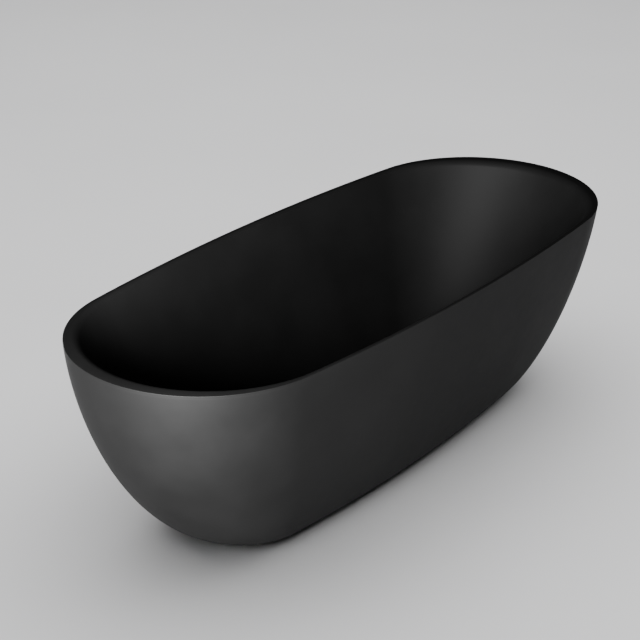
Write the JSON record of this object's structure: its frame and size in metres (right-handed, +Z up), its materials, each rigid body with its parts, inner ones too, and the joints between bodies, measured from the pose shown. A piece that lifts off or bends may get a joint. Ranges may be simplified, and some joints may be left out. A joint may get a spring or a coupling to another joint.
{
  "type": "freestanding bathtub",
  "caption": "Freestanding oval bathtub with a tapered double-skinned body, flat rim, steel cradle with levelling feet, push-open waste, slot overflow and trap.",
  "frame": {"origin": "centre of the footprint, on the floor", "axes": "+X along the bath, +Y across it, +Z up; the overflow is on the -Y side and the outlet points to +X"},
  "size_m": [1.7, 0.695, 0.53],
  "materials": {
    "bath_composite": "satin black solid-surface composite",
    "bond": "black bonding adhesive",
    "board": "birch plywood",
    "raw_steel": "welded mild steel tube",
    "zinc_steel": "zinc plated",
    "stainless": "turned stainless",
    "black_plastic": "moulded black",
    "black_metal": "satin black coating",
    "seal_rubber": "moulded rubber",
    "hose_plastic": "ribbed flexible hose"
  },
  "bodies": {
    "bath": {"outer_shell": "bath_composite", "inner_basin": "bath_composite", "rim_bond": "bond", "base_board": "board", "board_screws": "zinc_steel", "frame_rail_left": "raw_steel", "frame_rail_right": "raw_steel", "cross_bar_1": "raw_steel", "cross_bar_2": "raw_steel", "cross_bar_3": "raw_steel", "cross_bar_4": "raw_steel", "rail_caps": "black_plastic", "weld_nuts": "raw_steel", "lock_nuts": "zinc_steel", "skirt_bracket_1": "zinc_steel", "skirt_bracket_2": "zinc_steel", "skirt_bracket_3": "zinc_steel", "skirt_bracket_4": "zinc_steel", "bracket_screws": "zinc_steel", "waste_flange": "black_metal", "upper_seal": "seal_rubber", "lower_seal": "seal_rubber", "waste_body": "black_plastic", "plug_cartridge": "stainless", "plug_spring": "stainless", "overflow_cover": "black_metal", "overflow_seal": "seal_rubber", "overflow_box": "black_plastic", "overflow_screws": "black_metal", "overflow_hose": "hose_plastic", "hose_clips": "stainless", "trap_nut": "black_plastic", "trap_nut_seal": "seal_rubber", "trap_head": "black_plastic", "trap_cap": "black_plastic", "trap_cap_seal": "seal_rubber", "outlet_nut": "black_plastic", "outlet_seal": "seal_rubber", "outlet_elbow": "black_plastic"},
    "plug": {"plug_cap": "black_metal", "plug_seal": "seal_rubber", "plug_stem": "stainless"},
    "foot_1": {"foot_pad_1": "black_plastic"},
    "stud_1": {"leg_stud_1": "zinc_steel"},
    "foot_2": {"foot_pad_2": "black_plastic"},
    "stud_2": {"leg_stud_2": "zinc_steel"},
    "foot_3": {"foot_pad_3": "black_plastic"},
    "stud_3": {"leg_stud_3": "zinc_steel"},
    "foot_4": {"foot_pad_4": "black_plastic"},
    "stud_4": {"leg_stud_4": "zinc_steel"}
  },
  "joints": [
    {"name": "plug_lift", "type": "slide", "parent": "bath", "child": "plug", "axis": [0, 0, 1], "range_m": [0, 0.009], "deforming": ["plug_spring"]},
    {"name": "foot_1_level", "type": "slide", "parent": "bath", "child": "foot_1", "axis": [0, 0, 1], "range_m": [-0.0165, 0.0115]},
    {"name": "stud_1_turn", "type": "hinge", "parent": "foot_1", "child": "stud_1", "pos_m": [-0.3, -0.085, 0], "axis": [0, 0, 1], "range_deg": [-3086, 2057]},
    {"name": "foot_2_level", "type": "slide", "parent": "bath", "child": "foot_2", "axis": [0, 0, 1], "range_m": [-0.0165, 0.0115]},
    {"name": "stud_2_turn", "type": "hinge", "parent": "foot_2", "child": "stud_2", "pos_m": [-0.3, 0.085, 0], "axis": [0, 0, 1], "range_deg": [-3086, 2057]},
    {"name": "foot_3_level", "type": "slide", "parent": "bath", "child": "foot_3", "axis": [0, 0, 1], "range_m": [-0.0165, 0.0115]},
    {"name": "stud_3_turn", "type": "hinge", "parent": "foot_3", "child": "stud_3", "pos_m": [0.3, -0.085, 0], "axis": [0, 0, 1], "range_deg": [-3086, 2057]},
    {"name": "foot_4_level", "type": "slide", "parent": "bath", "child": "foot_4", "axis": [0, 0, 1], "range_m": [-0.0165, 0.0115]},
    {"name": "stud_4_turn", "type": "hinge", "parent": "foot_4", "child": "stud_4", "pos_m": [0.3, 0.085, 0], "axis": [0, 0, 1], "range_deg": [-3086, 2057]}
  ],
  "couplings": [
    {"joint": "foot_1_level", "follows": "stud_1_turn", "m_per_rad": 0.00027852},
    {"joint": "foot_2_level", "follows": "stud_2_turn", "m_per_rad": 0.00027852},
    {"joint": "foot_3_level", "follows": "stud_3_turn", "m_per_rad": 0.00027852},
    {"joint": "foot_4_level", "follows": "stud_4_turn", "m_per_rad": 0.00027852}
  ]
}
